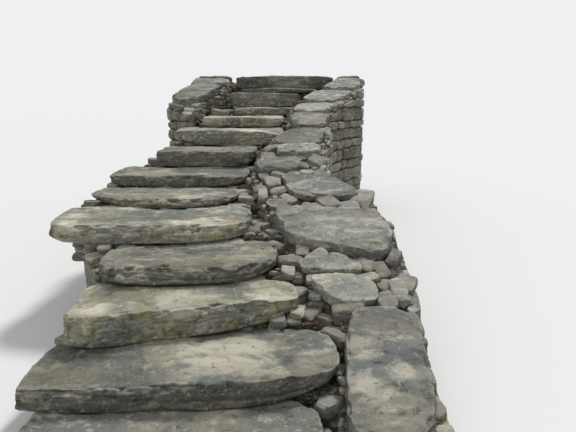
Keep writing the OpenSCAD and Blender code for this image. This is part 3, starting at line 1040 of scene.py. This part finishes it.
def build_slabs():
    """Makes the weathered step slabs and side stones."""
    tread_stone = stone_material("tread_stone", **TREAD_COLOURS)
    side_stone = stone_material("side_stone", **SIDE_COLOURS)
    for index, node in enumerate(SLABS):
        voxel = NEAR_VOXEL if index < NEAR_SLABS else SLAB_VOXEL
        seed = SLAB_SEED + SEED_STEP * index
        slab_piece(node, seed, voxel, SLAB_WEAR, tread_stone)
    for index, node in enumerate(SIDE_STONES):
        seed = SIDE_SEED + SEED_STEP * index
        slab_piece(node, seed, SIDE_VOXEL, SIDE_WEAR, side_stone)


def build_walling(material):
    """Makes the cores of the beds and cheeks, and the stones on their open sides."""
    core = core_material()
    rng = random.Random(WALL_SEED)
    heaps = {name: Heap() for name in WALLS}
    laid = []
    for name, nodes in WALLS.items():
        for node in nodes:
            bm = merged(node)
            stones = wall_stones(bm)
            laid += [(heaps[name], stone) for stone in stones]
            wall_core(node, bm, stones, core)
            bm.free()
    bond_ends([stone for _, stone in laid], rng)
    for heap, stone in laid:
        cover_stone(heap, stone, rng)
    for name, heap in heaps.items():
        dress(heap.build(name, WALL_ROUGH_SEED, WALL_ROUGH), material)


def build_small_stones(material):
    """Makes the loose stones and chocks, and the packing of the steep faces."""
    rng = random.Random(SMALL_SEED)
    loose, packing = Heap(), Heap()
    scatter_stones(loose, rng)
    wedge_chocks(loose, rng)
    pack_steep_faces(packing, rng)
    for name, heap in (("small_infill", loose), ("inner_packing", packing)):
        piece = heap.build(name, SMALL_ROUGH_SEED, SMALL_ROUGH)
        piece.data.set_sharp_from_angle(angle=math.radians(CRISP))
        dress(piece, material)


def build_stage():
    """Lays the plain pale floor."""
    r = FLOOR_REACH
    mesh = bpy.data.meshes.new("floor")
    mesh.from_pydata([(-r, -r, 0), (r, -r, 0), (r, r, 0), (-r, r, 0)], [], [(0, 1, 2, 3)])
    floor = new_object("floor", mesh)
    pale = bpy.data.materials.new("pale_floor")
    pale.use_nodes = True
    surface = pale.node_tree.nodes["Principled BSDF"]
    surface.inputs["Base Color"].default_value = (*FLOOR_COLOUR, 1)
    surface.inputs["Roughness"].default_value = 0.95
    mesh.materials.append(pale)


def build_light():
    """Sets up the soft sky, the plain backdrop that the camera sees, and two lamps."""
    world = bpy.data.worlds.new("studio")
    world.use_nodes = True
    nodes, links = world.node_tree.nodes, world.node_tree.links
    sky = nodes["Background"]
    sky.inputs["Color"].default_value = (*SKY_COLOUR, 1)
    sky.inputs["Strength"].default_value = SKY_STRENGTH
    backdrop = nodes.new("ShaderNodeBackground")
    backdrop.inputs["Color"].default_value = (*BACKDROP_COLOUR, 1)
    path = nodes.new("ShaderNodeLightPath")
    mix = nodes.new("ShaderNodeMixShader")
    links.new(path.outputs["Is Camera Ray"], mix.inputs["Fac"])
    links.new(sky.outputs["Background"], mix.inputs[1])
    links.new(backdrop.outputs["Background"], mix.inputs[2])
    links.new(mix.outputs["Shader"], nodes["World Output"].inputs["Surface"])
    bpy.context.scene.world = world
    for name, (strength, spread, turn) in LAMPS.items():
        lamp = bpy.data.lights.new(name, "SUN")
        lamp.energy = strength
        lamp.angle = math.radians(spread)
        holder = bpy.data.objects.new(name, lamp)
        holder.rotation_euler = [math.radians(a) for a in turn]
        bpy.context.scene.collection.objects.link(holder)


def build_camera():
    """Places the camera where the photo was taken."""
    lens = bpy.data.cameras.new("camera")
    lens.sensor_width = 36
    lens.lens = FOCAL_PX / IMAGE_W * lens.sensor_width
    lens.clip_end = 200
    camera = bpy.data.objects.new("camera", lens)
    camera.location = CAMERA_AT
    camera.rotation_euler = (math.radians(90 - CAMERA_PITCH), 0, 0)
    bpy.context.scene.collection.objects.link(camera)
    bpy.context.scene.camera = camera
    bpy.context.scene.view_settings.view_transform = "Standard"


build_camera()
build_slabs()
walling_stone = stone_material("walling_stone", **WALL_COLOURS)
build_walling(walling_stone)
build_small_stones(walling_stone)
build_stage()
build_light()
